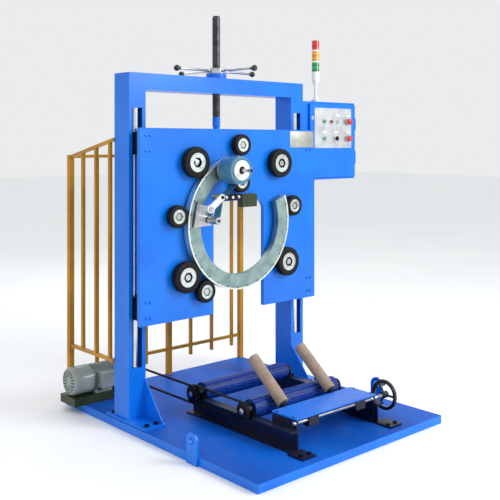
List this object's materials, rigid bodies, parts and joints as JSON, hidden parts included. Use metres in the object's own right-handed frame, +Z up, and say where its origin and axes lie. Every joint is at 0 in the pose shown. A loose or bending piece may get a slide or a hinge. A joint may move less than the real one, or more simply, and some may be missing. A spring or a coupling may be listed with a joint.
{
  "type": "coil wrapping machine",
  "caption": "Semi-automatic wrapping machine: a portal carries a C-shaped film ring above a roller bed that turns a standing coil.",
  "frame": {"origin": "middle of the base plate's underside", "axes": "+X along the portal towards the control box, +Y towards the safety fence at the back, +Z up; the wrapping ring turns about Y"},
  "size_m": [1.875, 1.64, 2.248],
  "materials": {
    "blue_paint": "gloss enamel",
    "navy_paint": "gloss enamel",
    "ochre_paint": "satin enamel",
    "grey_paint": "satin enamel",
    "olive_paint": "satin enamel",
    "white_paint": "satin enamel",
    "black_steel": "oiled black",
    "bright_steel": "turned",
    "chromed_rod": "polished",
    "cast_aluminium": "satin",
    "brushed_plate": "brushed",
    "tyre_rubber": "matt",
    "roller_sleeve": "matt",
    "stretch_film": "clear gloss",
    "black_plastic": "matt",
    "white_plastic": "matt",
    "green_plastic": "gloss",
    "red_plastic": "gloss",
    "signal_lens": "translucent gloss"
  },
  "bodies": {
    "base": {"base_plate": "blue_paint", "left_column": "blue_paint", "right_column": "blue_paint", "top_beam": "blue_paint", "anchor_bolts": "bright_steel", "guide_rods": "chromed_rod", "fence": "ochre_paint", "nut_housing": "blue_paint", "bed_rails": "navy_paint", "roller_bearings": "black_steel", "drive_chains": "black_steel", "slide_bridge": "blue_paint", "drive_motor": "grey_paint", "motor_bracket": "olive_paint", "gear_reducer": "grey_paint", "control_box": "blue_paint", "signal_tower": "white_plastic", "tower_lenses": "signal_lens"},
    "carriage": {"ring_panel": "blue_paint", "slide_bearings": "black_steel", "screw_bracket": "blue_paint", "lead_screw": "black_steel", "ring_gearmotor": "grey_paint", "wheel_axles": "bright_steel", "guide_arm": "olive_paint"},
    "capstan": {"capstan_hub": "bright_steel", "capstan_arms": "black_plastic"},
    "ring": {"wrap_ring": "cast_aluminium", "film_spindle": "bright_steel", "roller_bracket": "bright_steel"},
    "film": {"film_roll": "stretch_film", "film_hub": "white_plastic"},
    "lever": {"tension_lever": "white_paint"},
    "lever_roller": {"lever_roller": "bright_steel"},
    "fixed_roller": {"fixed_roller": "bright_steel"},
    "rear_roller": {"rear_roller": "blue_paint"},
    "front_roller": {"front_roller": "blue_paint"},
    "drive_sprocket": {"drive_sprocket": "bright_steel"},
    "left_slide": {"slide_block_left": "navy_paint"},
    "right_slide": {"slide_block_right": "navy_paint"},
    "left_guide_roller": {"guide_roller_left": "roller_sleeve"},
    "right_guide_roller": {"guide_roller_right": "roller_sleeve"},
    "screw": {"cross_screw": "bright_steel", "handwheel": "black_plastic"},
    "door": {"box_door": "blue_paint", "instrument_plate": "brushed_plate"},
    "start_button": {"start_button": "green_plastic"},
    "upper_selector": {"upper_selector": "black_plastic"},
    "lower_selector": {"lower_selector": "black_plastic"},
    "upper_stop": {"upper_stop_button": "red_plastic"},
    "lower_stop": {"lower_stop_button": "red_plastic"},
    "big_wheel_1": {"big_wheel_1": "tyre_rubber"},
    "big_wheel_2": {"big_wheel_2": "tyre_rubber"},
    "big_wheel_3": {"big_wheel_3": "tyre_rubber"},
    "big_wheel_4": {"big_wheel_4": "tyre_rubber"},
    "small_wheel_1": {"small_wheel_1": "tyre_rubber"},
    "small_wheel_2": {"small_wheel_2": "tyre_rubber"},
    "small_wheel_3": {"small_wheel_3": "tyre_rubber"},
    "small_wheel_4": {"small_wheel_4": "tyre_rubber"},
    "inner_wheel": {"inner_wheel": "tyre_rubber"}
  },
  "joints": [
    {"name": "panel_lift", "type": "slide", "parent": "base", "child": "carriage", "axis": [0, 0, 1], "range_m": [-0.25, 0.12]},
    {"name": "capstan_turn", "type": "hinge", "parent": "base", "child": "capstan", "pos_m": [0, 0.27, 1.9275], "axis": [0, 0, 1], "range_deg": [-11251, 5401]},
    {"name": "ring_spin", "type": "hinge", "parent": "carriage", "child": "ring", "pos_m": [0, 0.07, 1.062], "axis": [0, 1, 0], "continuous": true},
    {"name": "big_wheel_1_spin", "type": "hinge", "parent": "carriage", "child": "big_wheel_1", "pos_m": [-0.308, 0.07, 1.40407], "axis": [0, 1, 0], "continuous": true},
    {"name": "big_wheel_2_spin", "type": "hinge", "parent": "carriage", "child": "big_wheel_2", "pos_m": [0.32263, 0.07, 1.39031], "axis": [0, 1, 0], "continuous": true},
    {"name": "big_wheel_3_spin", "type": "hinge", "parent": "carriage", "child": "big_wheel_3", "pos_m": [-0.37239, 0.07, 0.79144], "axis": [0, 1, 0], "continuous": true},
    {"name": "big_wheel_4_spin", "type": "hinge", "parent": "carriage", "child": "big_wheel_4", "pos_m": [0.38161, 0.07, 0.8046], "axis": [0, 1, 0], "continuous": true},
    {"name": "small_wheel_1_spin", "type": "hinge", "parent": "carriage", "child": "small_wheel_1", "pos_m": [0.01827, 0.07, 1.49792], "axis": [0, 1, 0], "continuous": true},
    {"name": "small_wheel_2_spin", "type": "hinge", "parent": "carriage", "child": "small_wheel_2", "pos_m": [-0.43257, 0.07, 1.11895], "axis": [0, 1, 0], "continuous": true},
    {"name": "small_wheel_3_spin", "type": "hinge", "parent": "carriage", "child": "small_wheel_3", "pos_m": [0.43019, 0.07, 1.13476], "axis": [0, 1, 0], "continuous": true},
    {"name": "small_wheel_4_spin", "type": "hinge", "parent": "carriage", "child": "small_wheel_4", "pos_m": [-0.24398, 0.07, 0.70029], "axis": [0, 1, 0], "continuous": true},
    {"name": "inner_wheel_spin", "type": "hinge", "parent": "carriage", "child": "inner_wheel", "pos_m": [0.01197, 0.07, 1.29039], "axis": [0, 1, 0], "continuous": true},
    {"name": "film_spin", "type": "hinge", "parent": "ring", "child": "film", "pos_m": [-0.11468, -0.02, 1.36075], "axis": [0, 1, 0], "continuous": true},
    {"name": "lever_swing", "type": "hinge", "parent": "ring", "child": "lever", "pos_m": [-0.29673, -0.03, 1.15841], "axis": [0, 1, 0], "range_deg": [-12, 20], "stiffness_Nm_per_rad": 40},
    {"name": "lever_roller_spin", "type": "hinge", "parent": "lever", "child": "lever_roller", "pos_m": [-0.21583, 0, 1.21719], "axis": [0, 1, 0], "continuous": true},
    {"name": "fixed_roller_spin", "type": "hinge", "parent": "ring", "child": "fixed_roller", "pos_m": [-0.24417, 0, 1.09198], "axis": [0, 1, 0], "continuous": true},
    {"name": "rear_roller_spin", "type": "hinge", "parent": "base", "child": "rear_roller", "pos_m": [0.022, 0.05, 0.167], "axis": [1, 0, 0], "continuous": true},
    {"name": "front_roller_spin", "type": "hinge", "parent": "base", "child": "front_roller", "pos_m": [0.022, -0.34, 0.167], "axis": [1, 0, 0], "continuous": true},
    {"name": "drive_sprocket_spin", "type": "hinge", "parent": "base", "child": "drive_sprocket", "pos_m": [-0.352, 0.69, 0.167], "axis": [1, 0, 0], "continuous": true},
    {"name": "left_slide_travel", "type": "slide", "parent": "base", "child": "left_slide", "axis": [1, 0, 0], "range_m": [-0.055, 0.12]},
    {"name": "right_slide_travel", "type": "slide", "parent": "base", "child": "right_slide", "axis": [1, 0, 0], "range_m": [-0.121, 0.056]},
    {"name": "handwheel_turn", "type": "hinge", "parent": "base", "child": "screw", "pos_m": [0.022, -0.645, 0.168], "axis": [1, 0, 0], "range_deg": [-3961, 8641]},
    {"name": "left_guide_roller_spin", "type": "hinge", "parent": "left_slide", "child": "left_guide_roller", "pos_m": [-0.153, -0.446, 0.194], "axis": [0, 0.7771, 0.6293], "continuous": true},
    {"name": "right_guide_roller_spin", "type": "hinge", "parent": "right_slide", "child": "right_guide_roller", "pos_m": [0.197, -0.446, 0.194], "axis": [0, 0.7771, 0.6293], "continuous": true},
    {"name": "door_hinge", "type": "hinge", "parent": "base", "child": "door", "pos_m": [1.134, 0.1895, 1.524], "axis": [0, 0, 1], "range_deg": [0, 110]},
    {"name": "start_button_press", "type": "slide", "parent": "door", "child": "start_button", "axis": [0, 1, 0], "range_m": [0, 0.003], "stiffness_N_per_m": 500, "springref_m": -0.001},
    {"name": "upper_stop_press", "type": "slide", "parent": "door", "child": "upper_stop", "axis": [0, 1, 0], "range_m": [0, 0.004], "stiffness_N_per_m": 800, "springref_m": -0.001},
    {"name": "lower_stop_press", "type": "slide", "parent": "door", "child": "lower_stop", "axis": [0, 1, 0], "range_m": [0, 0.004], "stiffness_N_per_m": 800, "springref_m": -0.001},
    {"name": "upper_selector_turn", "type": "hinge", "parent": "door", "child": "upper_selector", "pos_m": [0.96, 0.1825, 1.6485], "axis": [0, 1, 0], "range_deg": [-45, 45]},
    {"name": "lower_selector_turn", "type": "hinge", "parent": "door", "child": "lower_selector", "pos_m": [0.939, 0.1825, 1.5385], "axis": [0, 1, 0], "range_deg": [-45, 45]}
  ],
  "couplings": [
    {"joint": "capstan_turn", "follows": "panel_lift", "rad_per_m": 785.4},
    {"joint": "big_wheel_1_spin", "follows": "ring_spin", "ratio": -4.4118},
    {"joint": "big_wheel_2_spin", "follows": "ring_spin", "ratio": -4.4118},
    {"joint": "big_wheel_3_spin", "follows": "ring_spin", "ratio": -4.4118},
    {"joint": "big_wheel_4_spin", "follows": "ring_spin", "ratio": -4.4118},
    {"joint": "small_wheel_1_spin", "follows": "ring_spin", "ratio": -6.1475},
    {"joint": "small_wheel_2_spin", "follows": "ring_spin", "ratio": -6.1475},
    {"joint": "small_wheel_3_spin", "follows": "ring_spin", "ratio": -6.1475},
    {"joint": "small_wheel_4_spin", "follows": "ring_spin", "ratio": -6.1475},
    {"joint": "inner_wheel_spin", "follows": "ring_spin", "ratio": 4.7541},
    {"joint": "front_roller_spin", "follows": "rear_roller_spin", "ratio": 1},
    {"joint": "drive_sprocket_spin", "follows": "rear_roller_spin", "ratio": 1},
    {"joint": "right_slide_travel", "follows": "left_slide_travel", "ratio": -1},
    {"joint": "handwheel_turn", "follows": "left_slide_travel", "rad_per_m": 1256.6}
  ]
}
